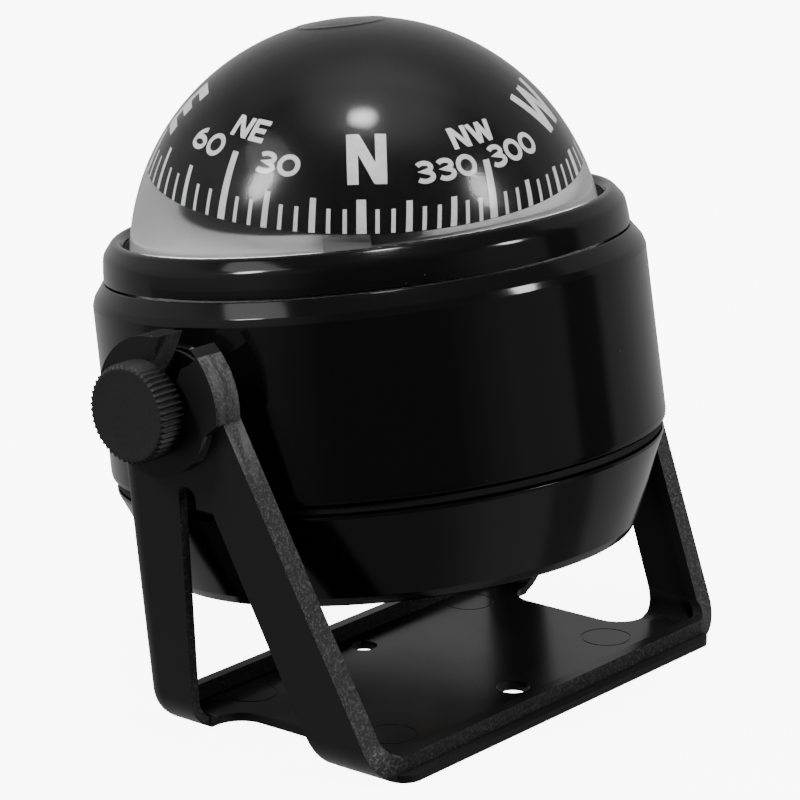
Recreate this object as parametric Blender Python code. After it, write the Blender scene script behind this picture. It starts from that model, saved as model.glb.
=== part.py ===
"""Bracket-mounted dome compass: a liquid-filled card capsule in a round housing that tilts between the two arms
of a moulded U bracket and is clamped by a knurled thumb screw on each side.

Frame: +Z up, -Y front, X along the pivot axis, origin at the bottom centre of the bounding box. Metres.
"""

from math import acos, asin, atan2, cos, degrees, hypot, pi, radians, sin, sqrt

import bmesh
import bpy
import numpy as np
from mathutils import Matrix, Vector

for old in list(bpy.data.objects):
    bpy.data.objects.remove(old, do_unlink=True)

MM = 0.001
GAP = 0.3  # clearance between neighbouring pieces, mm

# ---- driving dimensions, mm ----
PIVOT_Y = 0.54  # pivot axis from the centre of the bounding box
PIVOT_Z = 45.2  # pivot axis above the mounting surface
TILT = 7.9  # housing leans back at rest, degrees

# bracket
ARM_OUT = 42.0  # outer face of an arm at pivot height
ARM_SPLAY = 6.86  # each arm leans outwards, degrees
BEND_R = 5.2  # outer radius of the bends
BASE_WEB = 1.1
ARM_WEB = 1.4
RIM = 3.1  # thickness of the channel's two rims
FRONT_Y0 = -30.35  # front edge at the mounting surface
FRONT_SLOPE = 0.446
REAR_Y = 7.9
HEAD_IN = 39.1
HEAD_OUT = 43.4
HEAD_R = 8.9
HEAD_FRONT_R = 11.3
SLOT_W = 4.6
SLOT_LEAN = 24.0  # the slot enters from the top, leaning forwards, degrees
RECESS_X = 28.3
HOLE_R = 2.0
HOLES_Y = (2.6, -22.8)
FOOT_H = 1.0  # thickness of the foot plate, whose front edge stands proud of the front rim
FOOT_FRONT = -31.9
LIFT = 0.05  # the channel's underside sits this much above the foot plate's

# clamp screws
KNOB_IN, KNOB_OUT, KNOB_R, RIBS = 43.7, 47.9, 6.3, 40
STUD_R, STUD_IN, STUD_OUT = 2.0, 34.6, 46.4
INSERT_R, INSERT_IN, INSERT_OUT = 3.3, 33.4, 37.7
PAD_R, PAD_OUT = 6.5, 38.0
WASHER = (38.3, 38.8)

# housing, as (radius, height above the pivot along the housing's own axis)
WALL_TOP = (36.4, 8.6)
WALL_BOTTOM = (36.8, -13.6)
DOME_C = 10.63  # centre of the dome sphere
DOME_R, DOME_IN = 31.1, 30.25

# compass card, measured from the centre of the dome
CARD_R, CARD_T = 29.95, 0.6
CARD_LAT = 24.5  # lower edge of the card, degrees above its equator
CARD_TILT, CARD_TOWARD = 6.0, 57.2  # lean at rest and its direction from the front towards the left, degrees
MAGNET = (20.0, 6.0, 5.0)
MAGNET_Y, MAGNET_Z = 8.5, -8.0

SEG = 44


def material(name, colour, rough, metal=0.0, alpha=1.0):
    mat = bpy.data.materials.new(name)
    mat.use_nodes = True
    shader = mat.node_tree.nodes["Principled BSDF"]
    shader.inputs["Base Color"].default_value = (*colour, 1.0)
    shader.inputs["Roughness"].default_value = rough
    shader.inputs["Metallic"].default_value = metal
    if alpha < 1:
        shader.inputs["Alpha"].default_value = alpha
        shader.inputs["Transmission Weight"].default_value = 1.0
    return mat


BLACK_GLOSS = material("black_gloss_plastic", (0.012, 0.012, 0.013), 0.16)
BLACK_MATT = material("black_matt_plastic", (0.02, 0.02, 0.021), 0.55)
BLACK_RUBBER = material("black_rubber", (0.014, 0.014, 0.014), 0.8)
CARD_BLACK = material("card_black", (0.01, 0.01, 0.011), 0.35)
WHITE_PLASTIC = material("white_plastic", (0.78, 0.79, 0.8), 0.4)
FROST = material("frosted_grey_plastic", (0.42, 0.43, 0.45), 0.45)
CLEAR = material("clear_acrylic", (0.95, 0.96, 0.97), 0.03, 0.0, 0.25)
STEEL = material("steel", (0.6, 0.6, 0.61), 0.3, 1.0)
MAGNET_STEEL = material("magnet_steel", (0.3, 0.3, 0.31), 0.45, 1.0)
BRASS = material("brass", (0.72, 0.55, 0.26), 0.3, 1.0)
JEWEL = material("jewel", (0.45, 0.05, 0.09), 0.1)


def empty(name, matrix):
    obj = bpy.data.objects.new(name, None)
    bpy.context.scene.collection.objects.link(obj)
    obj.matrix_world = matrix
    return obj


def finish(name, bm, mat, parent=None, matrix=None, smooth=True, cutter=False):
    """Turns a bmesh in millimetres into an object in metres."""
    bmesh.ops.remove_doubles(bm, verts=bm.verts, dist=1e-5)
    bmesh.ops.recalc_face_normals(bm, faces=bm.faces)
    bmesh.ops.triangulate(bm, faces=bm.faces)
    bmesh.ops.scale(bm, vec=(MM, MM, MM), verts=bm.verts)
    mesh = bpy.data.meshes.new(name)
    bm.to_mesh(mesh)
    bm.free()
    if mat:
        mesh.materials.append(mat)
    if smooth:
        mesh.shade_smooth()
        mesh.set_sharp_from_angle(angle=radians(35))
    obj = bpy.data.objects.new(name, mesh)
    bpy.context.scene.collection.objects.link(obj)
    if parent:
        obj.parent = parent
    if matrix:
        obj.matrix_local = matrix
    if cutter:
        obj.hide_render = True
        obj.display_type = "WIRE"
    return obj


def turned(profile, seg=SEG, ripple=None):
    """A closed (radius, height) outline turned about Z. Points at radius 0 become poles."""
    bm = bmesh.new()
    rings = []
    for k, (r, z) in enumerate(profile):
        if r < 1e-6:
            rings.append([bm.verts.new((0, 0, z))])
        else:
            ring = []
            for i in range(seg):
                a = 2 * pi * i / seg
                rr = r + (ripple(k, i) if ripple else 0.0)
                ring.append(bm.verts.new((rr * cos(a), rr * sin(a), z)))
            rings.append(ring)
    for low, high in zip(rings, rings[1:] + rings[:1]):
        if len(low) == 1 and len(high) == 1:
            continue
        for i in range(seg):
            j = (i + 1) % seg
            if len(low) == 1:
                bm.faces.new((low[0], high[i], high[j]))
            elif len(high) == 1:
                bm.faces.new((low[i], low[j], high[0]))
            else:
                bm.faces.new((low[i], low[j], high[j], high[i]))
    return bm


def prism(outline, low, high, axis):
    """An outline extruded between two planes. Axis X takes (y, z) outlines, axis Z takes (x, y) outlines."""
    place = {"X": lambda p, d: (d, p[0], p[1]), "Z": lambda p, d: (p[0], p[1], d)}[axis]
    bm = bmesh.new()
    a = [bm.verts.new(place(p, low)) for p in outline]
    b = [bm.verts.new(place(p, high)) for p in outline]
    bm.faces.new(a[::-1])
    bm.faces.new(b)
    n = len(outline)
    for i in range(n):
        j = (i + 1) % n
        bm.faces.new((a[i], a[j], b[j], b[i]))
    return bm


def arc(cx, cy, r, start, end, steps):
    """Points on a circle from start to end, in degrees."""
    return [
        (cx + r * cos(radians(start + (end - start) * k / steps)), cy + r * sin(radians(start + (end - start) * k / steps)))
        for k in range(steps + 1)
    ]


def boolean(obj, other, operation):
    mod = obj.modifiers.new(operation.lower() + "_" + other.name, "BOOLEAN")
    mod.operation = operation
    mod.solver = "EXACT"
    mod.object = other


# ---------------------------------------------------------------- bracket
pivot_at = Matrix.Translation((0, PIVOT_Y * MM, PIVOT_Z * MM))
bracket_frame = empty("bracket_frame", Matrix.Translation((0, PIVOT_Y * MM, 0)))


def front_y(z):
    """The front edge of the bracket, one slanted plane from the base to the heads."""
    return FRONT_Y0 + FRONT_SLOPE * z


def channel():
    """The U-shaped channel: a thin web with a thick rim along its front and rear edges, swept from arm to arm."""
    lean = radians(ARM_SPLAY)
    out_at = lambda z: ARM_OUT + (z - PIVOT_Z) * sin(lean) / cos(lean)
    bend_end_z = BEND_R * (1 - sin(lean))
    bend_x = out_at(bend_end_z) - BEND_R * cos(lean)
    half = [(0.0, LIFT, 0.0, 1.0, BASE_WEB), (bend_x - 6, LIFT, 0.0, 1.0, BASE_WEB)]
    turn = 90 - ARM_SPLAY
    steps = 8
    for k in range(steps + 1):
        a = radians(-90 + turn * k / steps)
        web = BASE_WEB + (ARM_WEB - BASE_WEB) * k / steps
        half.append((bend_x + BEND_R * cos(a), LIFT + BEND_R + BEND_R * sin(a), -cos(a), -sin(a), web))
    for z, web in ((20.0, ARM_WEB), (34.4, ARM_WEB), (35.4, RIM), (45.0, RIM)):
        half.append((out_at(z), z, -cos(lean), sin(lean), web))
    path = [(-x, z, -nx, nz, web) for x, z, nx, nz, web in half[:0:-1]] + half
    bm = bmesh.new()
    rows = []
    for x, z, nx, nz, web in path:
        rim = RIM
        at = lambda u: (x + nx * u, z + nz * u)
        row = []
        section = [(0.0, "front", 0.0), (0.0, "rear", -2.6), (0.22, "rear", -1.45), (0.75, "rear", -0.55), (1.5, "rear", 0.0),
                   (rim, "rear", 0.0), (rim, "rear", -1.5), (web, "rear", -1.9), (web, "front", 2.0), (rim, "front", 1.6), (rim, "front", 0.0)]
        for u, edge, dy in section:
            px, pz = at(u)
            y = (front_y(z) if edge == "front" else REAR_Y) + dy
            row.append(bm.verts.new((px, y, pz)))
        rows.append(row)
    n = len(rows[0])
    for low, high in zip(rows, rows[1:]):
        for i in range(n):
            j = (i + 1) % n
            bm.faces.new((low[i], low[j], high[j], high[i]))
    bm.faces.new(rows[0])
    bm.faces.new(rows[-1][::-1])
    return bm


def head_outline():
    """Side outline of an arm's head: a round boss with a wider band that carries the bracket's front edge past it."""
    c = PIVOT_Z
    pts = arc(0, c, HEAD_R, 92, -165, 30)
    pts += arc(0, c, HEAD_FRONT_R, 194, 129, 8)
    pts += [(-4.6, c + 9.75)]
    return pts


def slot_outline():
    lean = radians(SLOT_LEAN)
    d, w = (-sin(lean), cos(lean)), SLOT_W / 2
    side = (cos(lean), sin(lean))
    low = [(w * cos(radians(a)), PIVOT_Z + w * sin(radians(a))) for a in np.linspace(180 + SLOT_LEAN, 360 + SLOT_LEAN, 9)]
    top = 14.0
    right = (d[0] * top + side[0] * w, PIVOT_Z + d[1] * top + side[1] * w)
    left = (d[0] * top - side[0] * w, PIVOT_Z + d[1] * top - side[1] * w)
    nick = lambda t, s: (d[0] * t - side[0] * s, PIVOT_Z + d[1] * t - side[1] * s)
    return low + [right, left, nick(10.6, w), nick(9.9, w + 1.7), nick(8.4, w + 0.9), nick(7.3, w)]


def window_front(z):
    return -20.9 + 0.4286 * z


def window_rear(z):
    return 0.45 - 0.064 * z


def opening_outline():
    """The tall window between an arm's upright rear leg and its raked front leg."""
    top = 32.1
    return (
        [(window_rear(-4), -4.0), (window_rear(top + 1.3), top + 1.3)]
        + arc(-3.05, top + 1.3, 1.4, 0, 180, 6)[1:]
        + [(-4.45, top), (window_front(top), top), (window_front(-4), -4.0)]
    )


def recess(side):
    """The notch that the window cuts into the base, with rounded inner corners. It is a hair narrower than the window."""
    r, end, trim = 4.0, 34.4, 0.12
    bm = bmesh.new()
    loops = []
    for z in (-3.0, 5.0):
        y0, y1 = window_front(z) + trim, window_rear(z) - trim
        pts = [(end, y0)] + arc(RECESS_X + r, y0 + r, r, 270, 180, 5) + arc(RECESS_X + r, y1 - r, r, 180, 90, 5) + [(end, y1)]
        loops.append([bm.verts.new((side * x, y, z)) for x, y in pts])
    a, b = loops
    bm.faces.new(a[::-1])
    bm.faces.new(b)
    for i in range(len(a)):
        j = (i + 1) % len(a)
        bm.faces.new((a[i], a[j], b[j], b[i]))
    return bm


def foot_outline():
    x, y0, y1, r = 33.2, FOOT_FRONT, 6.2, 2.6
    pts = arc(-x + r, y0 + r, r, 180, 270, 5) + arc(x - r, y0 + r, r, 270, 360, 5)
    return pts + arc(x - r, y1 - r, r, 0, 90, 4) + arc(-x + r, y1 - r, r, 90, 180, 4)


bracket = finish("bracket", channel(), BLACK_GLOSS, bracket_frame)
helpers = []
for side, tag in ((-1, "left"), (1, "right")):
    low, high = sorted((side * HEAD_IN, side * HEAD_OUT))
    head = finish("add_head_" + tag, prism(head_outline(), low, high, "X"), None, bracket_frame, cutter=True)
    boolean(bracket, head, "UNION")
foot = finish("add_foot", prism(foot_outline(), 0.0, FOOT_H, "Z"), None, bracket_frame, cutter=True)
boolean(bracket, foot, "UNION")
for side, tag in ((-1, "left"), (1, "right")):
    low, high = sorted((side * 33.5, side * 55.0))
    cut = finish("cut_window_" + tag, prism(opening_outline(), low, high, "X"), None, bracket_frame, cutter=True)
    boolean(bracket, cut, "DIFFERENCE")
    cut = finish("cut_recess_" + tag, recess(side), None, bracket_frame, cutter=True)
    boolean(bracket, cut, "DIFFERENCE")
    low, high = sorted((side * 36.0, side * 55.0))
    cut = finish("cut_slot_" + tag, prism(slot_outline(), low, high, "X"), None, bracket_frame, cutter=True)
    boolean(bracket, cut, "DIFFERENCE")
    # a flat seat for the friction washer in the arm's slanted inner face
    seat = turned([(0, 30.0), (7.0, 30.0), (7.0, HEAD_IN + 0.05), (0, HEAD_IN + 0.05)], 32)
    place = Matrix.Translation((0, 0, PIVOT_Z * MM)) @ Matrix.Rotation(side * pi / 2, 4, "Y")
    cut = finish("cut_seat_" + tag, seat, None, bracket_frame, place, cutter=True)
    boolean(bracket, cut, "DIFFERENCE")
for k, y in enumerate(HOLES_Y):
    # the front hole is countersunk
    mouth = [(HOLE_R, 6)] if k == 0 else [(HOLE_R, 0.4), (HOLE_R + 1.0, 1.25), (HOLE_R + 1.0, 6)]
    hole = turned([(0, -3), (HOLE_R, -3)] + mouth + [(0, 6)], 24)
    cut = finish("cut_hole_%d" % k, hole, None, bracket_frame, Matrix.Translation((0, y * MM, 0)), cutter=True)
    boolean(bracket, cut, "DIFFERENCE")

# ---------------------------------------------------------------- housing
housing = empty("housing_pivot", pivot_at @ Matrix.Rotation(-radians(TILT), 4, "X"))

shell_profile = [
    (34.6, 11.3), (34.75, 11.2), (36.1, 9.35), WALL_TOP, (36.5, 2.0), (36.65, -6.0), WALL_BOTTOM, (36.7, -14.05), (36.3, -14.3),
    (34.9, -14.3), (34.7, 6.9), (33.2, 8.6), (31.2, 9.0), (31.2, 10.7), (33.5, 10.7), (33.5, 11.3),
]
housing_shell = finish("housing_shell", turned(shell_profile), BLACK_GLOSS, housing)
for side, tag in ((-1, "left"), (1, "right")):
    # a flat-faced pad carries the friction washer, and its inner side holds the threaded insert
    pad = turned([(0, 32.9), (PAD_R, 32.9), (PAD_R, PAD_OUT - 0.3), (PAD_R - 0.3, PAD_OUT), (0, PAD_OUT)], 32)
    place = Matrix.Rotation(side * pi / 2, 4, "Y")
    add = finish("add_pad_" + tag, pad, None, housing, place, cutter=True)
    boolean(housing_shell, add, "UNION")
for side, tag in ((-1, "left"), (1, "right")):
    bore = turned([(0, 33.1), (INSERT_R + GAP, 33.1), (INSERT_R + GAP, 41.0), (0, 41.0)], 24)
    cut = finish("cut_bore_" + tag, bore, None, housing, Matrix.Rotation(side * pi / 2, 4, "Y"), cutter=True)
    boolean(housing_shell, cut, "DIFFERENCE")

bezel_profile = [
    (31.45, 14.6), (31.45, 15.55), (31.75, 16.0), (32.3, 16.2), (33.0, 16.2), (33.7, 15.85), (34.2, 15.1), (34.45, 14.0),
    (34.55, 12.6), (34.6, 11.6), (33.6, 11.6), (33.6, 14.6),
]
finish("bezel_ring", turned(bezel_profile), BLACK_GLOSS, housing)
finish("dome_gasket", turned([(31.4, 13.9), (33.2, 13.9), (33.2, 14.3), (31.4, 14.3)]), BLACK_RUBBER, housing)


def cap(r, centre, low_angle, steps):
    """Points of a sphere's outline from an angle above its equator up to the pole."""
    return [(r * cos(radians(a)), centre + r * sin(radians(a))) for a in np.linspace(low_angle, 90, steps + 1)[:-1]] + [(0.0, centre + r)]


dome_profile = (
    cap(DOME_R, DOME_C, 8.0, 8)[::-1]
    + [(30.95, 13.6), (33.0, 13.6), (33.0, 12.2), (30.1, 12.2)]
    + cap(DOME_IN, DOME_C, 5.6, 7)
)
finish("dome", turned(dome_profile), CLEAR, housing)

BOWL_IN, BOWL_OUT, FLOOR = 21.0, 22.4, 16.0
floor_angle = degrees(asin((FLOOR - DOME_C) / BOWL_IN))
under_angle = degrees(asin((14.4 - DOME_C) / BOWL_OUT))
bowl_in = [(BOWL_IN * cos(radians(a)), DOME_C + BOWL_IN * sin(radians(a))) for a in np.linspace(-90, floor_angle, 7)]
bowl_out = [(BOWL_OUT * cos(radians(a)), DOME_C + BOWL_OUT * sin(radians(a))) for a in np.linspace(under_angle, -90, 7)]
bowl_in[0], bowl_out[-1] = (0.0, DOME_C - BOWL_IN), (0.0, DOME_C - BOWL_OUT)
bowl_profile = bowl_in + [(27.5, FLOOR), (27.7, FLOOR - 0.2), (27.7, 11.9), (33.2, 11.9), (33.2, 11.0), (26.4, 11.0), (26.2, 14.4)] + bowl_out
inner_bowl = finish("inner_bowl", turned(bowl_profile), WHITE_PLASTIC, housing)
plug_at = Matrix.Translation((0, 24.3 * MM, 0))
cut = finish("cut_plug", turned([(0, 12.0), (1.45, 12.0), (1.45, 18.0), (0, 18.0)], 20), None, housing, plug_at, cutter=True)
boolean(inner_bowl, cut, "DIFFERENCE")
port_at = Matrix.Translation((5.0 * MM, 0, 0))
cut = finish("cut_port", turned([(0, -16.0), (0.9, -16.0), (0.9, -6.0), (0, -6.0)], 16), None, housing, port_at, cutter=True)
boolean(inner_bowl, cut, "DIFFERENCE")
finish("filler_plug", turned([(0, 12.6), (1.7, 12.6), (1.7, 14.1), (1.15, 14.1), (1.15, 15.8), (0, 15.8)], 20), BRASS, housing, plug_at)

lubber = arc(0, 0, 26.3, -5.7, 5.7, 4) + arc(0, 0, 27.6, 5.7, -5.7, 4)
lubber_turn = Matrix.Rotation(radians(-90 - 53.6), 4, "Z")
finish("lubber_block", prism(lubber, FLOOR + GAP, 17.6, "Z"), FROST, housing, lubber_turn)

bowl_low = DOME_C - BOWL_OUT
finish("expansion_diaphragm", turned([(0, bowl_low - 1.9), (6.4, bowl_low - 1.9), (7.6, bowl_low - 1.0), (9.0, bowl_low + 1.0), (11.9, bowl_low + 2.2),
       (11.9, bowl_low + 2.8), (9.4, bowl_low + 1.7), (8.0, bowl_low + 0.9), (6.6, bowl_low - 0.3), (6.2, bowl_low - 0.5), (0, bowl_low - 0.6)], 32), BLACK_RUBBER, housing)
finish("diaphragm_retainer", turned([(9.9, bowl_low - 0.6), (12.6, bowl_low - 0.6), (12.6, bowl_low + 1.9), (11.9, bowl_low + 1.9), (9.9, bowl_low + 1.1)], 32), BLACK_MATT, housing)

post_top, post_foot = DOME_C - 5.0, DOME_C - BOWL_IN + 0.9
finish("pivot_post", turned([(0, post_foot), (3.2, post_foot), (3.2, post_foot + 1.6), (1.6, post_foot + 3.4), (1.6, post_top - 0.4), (1.2, post_top), (0, post_top)], 24), BRASS, housing)
finish("pivot_pin", turned([(0, post_top + GAP), (0.5, post_top + GAP), (0.5, DOME_C - 1.8), (0.08, DOME_C - 0.35), (0, DOME_C - 0.35)], 16), STEEL, housing)

cover_profile = [
    (36.25, -15.8), (36.25, -16.2), (34.95, -19.2), (33.15, -23.8), (31.7, -27.3), (31.0, -28.2), (30.0, -28.6), (17.9, -28.6), (17.3, -29.1),
    (17.0, -30.8), (16.2, -32.0), (14.8, -32.6), (0, -32.6), (0, -31.1), (14.6, -31.1), (15.4, -30.2), (15.6, -27.0), (29.3, -27.0), (30.0, -26.6),
    (34.4, -16.6), (34.4, -15.8),
]
lower_cover = finish("lower_cover", turned(cover_profile), BLACK_GLOSS, housing)
finish("cover_seal", turned([(34.2, -15.5), (36.1, -15.5), (36.1, -14.6), (34.2, -14.6)]), BLACK_RUBBER, housing)

COMP_X = 7.0
for side, tag in ((-1, "ns"), (1, "ew")):
    at = Matrix.Translation((side * COMP_X * MM, 0, 0))
    cut = finish("cut_comp_" + tag, turned([(0, -36), (3.3, -36), (3.3, -31.6), (2.2, -31.6), (2.2, -29), (0, -29)], 24), None, housing, at, cutter=True)
    boolean(lower_cover, cut, "DIFFERENCE")
    pivot = empty("compensator_%s_axis" % tag, Matrix.Identity(4))
    pivot.parent = housing
    pivot.matrix_local = at @ Matrix.Translation((0, 0, -29.5 * MM))
    screw = finish("compensator_screw_" + tag, turned([(0, -2.9), (3.0, -2.9), (3.0, -2.4), (1.9, -2.4), (1.9, 4.0), (0, 4.0)], 24), BRASS, pivot)
    groove = bmesh.new()
    bmesh.ops.create_cube(groove, size=1.0)
    bmesh.ops.scale(groove, vec=(8.0, 0.8, 0.7), verts=groove.verts)
    cut = finish("cut_groove_" + tag, groove, None, pivot, Matrix.Translation((0, 0, -2.9 * MM)), smooth=False, cutter=True)
    boolean(screw, cut, "DIFFERENCE")
    bar = bmesh.new()
    bmesh.ops.create_cube(bar, size=1.0)
    bmesh.ops.scale(bar, vec=(10.0, 3.0, 3.0), verts=bar.verts)
    turn = Matrix.Rotation(0.0 if tag == "ew" else pi / 2, 4, "Z")
    finish("compensator_magnet_" + tag, bar, MAGNET_STEEL, pivot, Matrix.Translation((0, 0, 5.8 * MM)) @ turn, smooth=False)

for side, tag in ((-1, "left"), (1, "right")):
    turn = Matrix.Rotation(side * pi / 2, 4, "Y")
    finish("pivot_insert_" + tag, turned([(STUD_R + GAP, INSERT_IN), (INSERT_R, INSERT_IN), (INSERT_R, INSERT_OUT), (STUD_R + GAP, INSERT_OUT)], 24), BRASS, housing, turn)
    finish("friction_washer_" + tag, turned([(STUD_R + GAP, WASHER[0]), (6.2, WASHER[0]), (6.2, WASHER[1]), (STUD_R + GAP, WASHER[1])], 32), BLACK_RUBBER, housing, turn)
    axis = empty("knob_%s_axis" % tag, pivot_at @ turn)
    finish("stud_" + tag, turned([(0, STUD_IN), (STUD_R - 0.4, STUD_IN), (STUD_R, STUD_IN + 0.4), (STUD_R, STUD_OUT - 0.2), (STUD_R - 0.2, STUD_OUT), (0, STUD_OUT)], 24), STEEL, axis)
    knob_profile = [(STUD_R + GAP, KNOB_IN), (KNOB_R - 0.7, KNOB_IN), (KNOB_R - 0.15, KNOB_IN + 0.35), (KNOB_R - 0.15, KNOB_OUT - 0.35),
                    (KNOB_R - 0.75, KNOB_OUT), (0, KNOB_OUT), (0, STUD_OUT + GAP), (STUD_R + GAP, STUD_OUT + GAP)]
    ripple = lambda k, i: (0.15 if i % 2 == 0 else -0.2) if k in (2, 3) else 0.0
    finish("knob_" + tag, turned(knob_profile, 2 * RIBS, ripple), BLACK_MATT, axis)

# ---------------------------------------------------------------- compass card
# Its parts are placed from the centre of the dome, where the pin carries it. At rest the card leans a little.
toward = radians(CARD_TOWARD)
lean = radians(CARD_TILT)
card_up = Vector((-sin(toward) * sin(lean), -cos(toward) * sin(lean), cos(lean)))
card_front = (Vector((-sin(toward), -cos(toward), 0)) - card_up * Vector((-sin(toward), -cos(toward), 0)).dot(card_up)).normalized()
card_side = card_up.cross(card_front)
card_turn = Matrix((card_front, card_side, card_up)).transposed().to_4x4()
dome_centre = housing.matrix_world @ Vector((0, 0, DOME_C * MM))
card = empty("card_pivot", Matrix.Translation(dome_centre) @ card_turn)

inner_r = CARD_R - CARD_T
card_out = [(CARD_R * cos(radians(a)), CARD_R * sin(radians(a))) for a in np.linspace(90, CARD_LAT, 8)]
card_in = [(inner_r * cos(radians(a)), inner_r * sin(radians(a))) for a in np.linspace(CARD_LAT, 90, 8)]
card_out[0], card_in[-1] = (0.0, CARD_R), (0.0, inner_r)
finish("card_dome", turned(card_out + card_in), CARD_BLACK, card)

spider_z = 19.5
spider_r = sqrt(inner_r**2 - (spider_z + 1.2) ** 2) - 0.35
hub = finish("card_hub", turned([(4.2, -5.4), (11.6, -5.4), (11.6, -4.3), (5.3, -4.0), (5.2, spider_z), (5.2, spider_z + 1.0), (3.2, spider_z + 1.0),
             (3.2, 3.2), (4.2, 2.9)], 32), WHITE_PLASTIC, card)
for k in range(2):
    spoke = bmesh.new()
    bmesh.ops.create_cube(spoke, size=1.0)
    bmesh.ops.scale(spoke, vec=(2 * spider_r, 2.4, 0.9), verts=spoke.verts)
    place = Matrix.Translation((0, 0, (spider_z + 0.5) * MM)) @ Matrix.Rotation(k * pi / 2, 4, "Z")
    add = finish("add_spoke_%d" % k, spoke, None, card, place, smooth=False, cutter=True)
    boolean(hub, add, "UNION")
for side, tag in ((-1, "a"), (1, "b")):
    bar = bmesh.new()
    bmesh.ops.create_cube(bar, size=1.0)
    bmesh.ops.scale(bar, vec=MAGNET, verts=bar.verts)
    bmesh.ops.bevel(bar, geom=bar.edges, offset=0.3, segments=1, affect="EDGES")
    finish("card_magnet_" + tag, bar, MAGNET_STEEL, card, Matrix.Translation((0, side * MAGNET_Y * MM, (MAGNET_Z - 0.3) * MM)), smooth=False)
finish("jewel_cup", turned([(0, 0.05), (1.4, -0.9), (2.4, -0.9), (2.6, -0.6), (2.6, 2.4), (2.2, 2.8), (0, 2.8)], 24), JEWEL, card)
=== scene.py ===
"""Looks for the bracket-mounted dome compass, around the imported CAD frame. Metres, +Z up, -Y front."""

from math import asin, cos, degrees, hypot, pi, radians, sin

import bmesh
import bpy
import numpy as np
from mathutils import Matrix, Vector


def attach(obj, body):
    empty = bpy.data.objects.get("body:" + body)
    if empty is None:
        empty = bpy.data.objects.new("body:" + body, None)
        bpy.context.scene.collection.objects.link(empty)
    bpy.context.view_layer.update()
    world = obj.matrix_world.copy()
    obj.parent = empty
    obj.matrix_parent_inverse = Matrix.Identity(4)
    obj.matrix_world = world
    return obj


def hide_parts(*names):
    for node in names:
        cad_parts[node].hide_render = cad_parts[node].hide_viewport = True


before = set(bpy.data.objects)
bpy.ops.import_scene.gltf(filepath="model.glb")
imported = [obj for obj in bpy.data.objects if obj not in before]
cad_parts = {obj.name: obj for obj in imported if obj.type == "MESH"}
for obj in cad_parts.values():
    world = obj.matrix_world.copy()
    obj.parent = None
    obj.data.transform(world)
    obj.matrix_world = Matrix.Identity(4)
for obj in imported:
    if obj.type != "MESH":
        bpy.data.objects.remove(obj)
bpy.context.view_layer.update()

MM = 0.001
PY, PZ, TILT = 0.54, 45.2, 7.9
PIVOT = Matrix.Translation((0, PY * MM, PZ * MM))
HOUSING = PIVOT @ Matrix.Rotation(-radians(TILT), 4, "X")
SEG = 160

# ------------------------------------------------------------------ camera
AZ, EL, ROLL = radians(-50.65), radians(16.19), radians(-0.33)
back = Vector((sin(AZ) * cos(EL), -cos(AZ) * cos(EL), sin(EL)))
right = Vector((cos(AZ), sin(AZ), 0))
up = back.cross(right)
cam_x = cos(ROLL) * right + sin(ROLL) * up
cam_y = -sin(ROLL) * right + cos(ROLL) * up
target = Vector((-1.16, -4.87 + 0.54, 36.10 + 1.23)) * MM
cam_data = bpy.data.cameras.new("camera")
cam_data.lens, cam_data.sensor_width = 164.84, 36.0
cam_data.clip_start, cam_data.clip_end = 0.01, 20.0
cam = bpy.data.objects.new("camera", cam_data)
bpy.context.scene.collection.objects.link(cam)
place = Matrix((cam_x, cam_y, back)).transposed().to_4x4()
place.translation = target + back * 0.47995
cam.matrix_world = place
bpy.context.scene.camera = cam

# ------------------------------------------------------------------ materials


class Nodes:
    """A small helper around one material's node tree."""

    def __init__(self, name):
        self.mat = bpy.data.materials.new(name)
        self.mat.use_nodes = True
        self.tree = self.mat.node_tree
        self.shader = self.tree.nodes["Principled BSDF"]
        self.out = self.tree.nodes["Material Output"]
        self.coord = self.tree.nodes.new("ShaderNodeTexCoord")

    def node(self, kind, **values):
        n = self.tree.nodes.new(kind)
        for key, value in values.items():
            if key in n.inputs:
                n.inputs[key].default_value = value
            else:
                setattr(n, key, value)
        return n

    def link(self, a, b):
        self.tree.links.new(a, b)

    def noise(self, scale, detail=3.0, rough=0.55, stretch=None):
        n = self.node("ShaderNodeTexNoise", Scale=scale, Detail=detail, Roughness=rough)
        source = self.coord.outputs["Object"]
        if stretch:
            m = self.node("ShaderNodeMapping")
            m.inputs["Scale"].default_value = stretch
            self.link(source, m.inputs["Vector"])
            source = m.outputs["Vector"]
        self.link(source, n.inputs["Vector"])
        return n.outputs["Fac"]

    def spread(self, value, a, b, c=0.3, d=0.7):
        """The value, remapped from c..d to a..b."""
        m = self.node("ShaderNodeMapRange")
        for key, v in (("From Min", c), ("From Max", d), ("To Min", a), ("To Max", b)):
            m.inputs[key].default_value = v
        self.link(value, m.inputs["Value"])
        return m.outputs["Result"]

    def math(self, op, a, b=None, clamp=False):
        m = self.node("ShaderNodeMath", operation=op, use_clamp=clamp)
        for k, v in enumerate((a, b)):
            if v is None:
                continue
            if isinstance(v, (int, float)):
                m.inputs[k].default_value = v
            else:
                self.link(v, m.inputs[k])
        return m.outputs[0]

    def colour(self, value, a, b):
        m = self.node("ShaderNodeMix", data_type="RGBA")
        m.inputs[6].default_value = (*a, 1)
        m.inputs[7].default_value = (*b, 1)
        self.link(value, m.inputs[0])
        return m.outputs[2]

    def bump(self, height, distance, strength=1.0, under=None):
        b = self.node("ShaderNodeBump", Strength=strength, Distance=distance)
        self.link(height, b.inputs["Height"])
        if under is not None:
            self.link(under, b.inputs["Normal"])
        return b.outputs["Normal"]

    def set(self, **values):
        for key, value in values.items():
            self.shader.inputs[key.replace("_", " ")].default_value = value

    def drive(self, socket, output):
        self.link(output, self.shader.inputs[socket])


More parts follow.
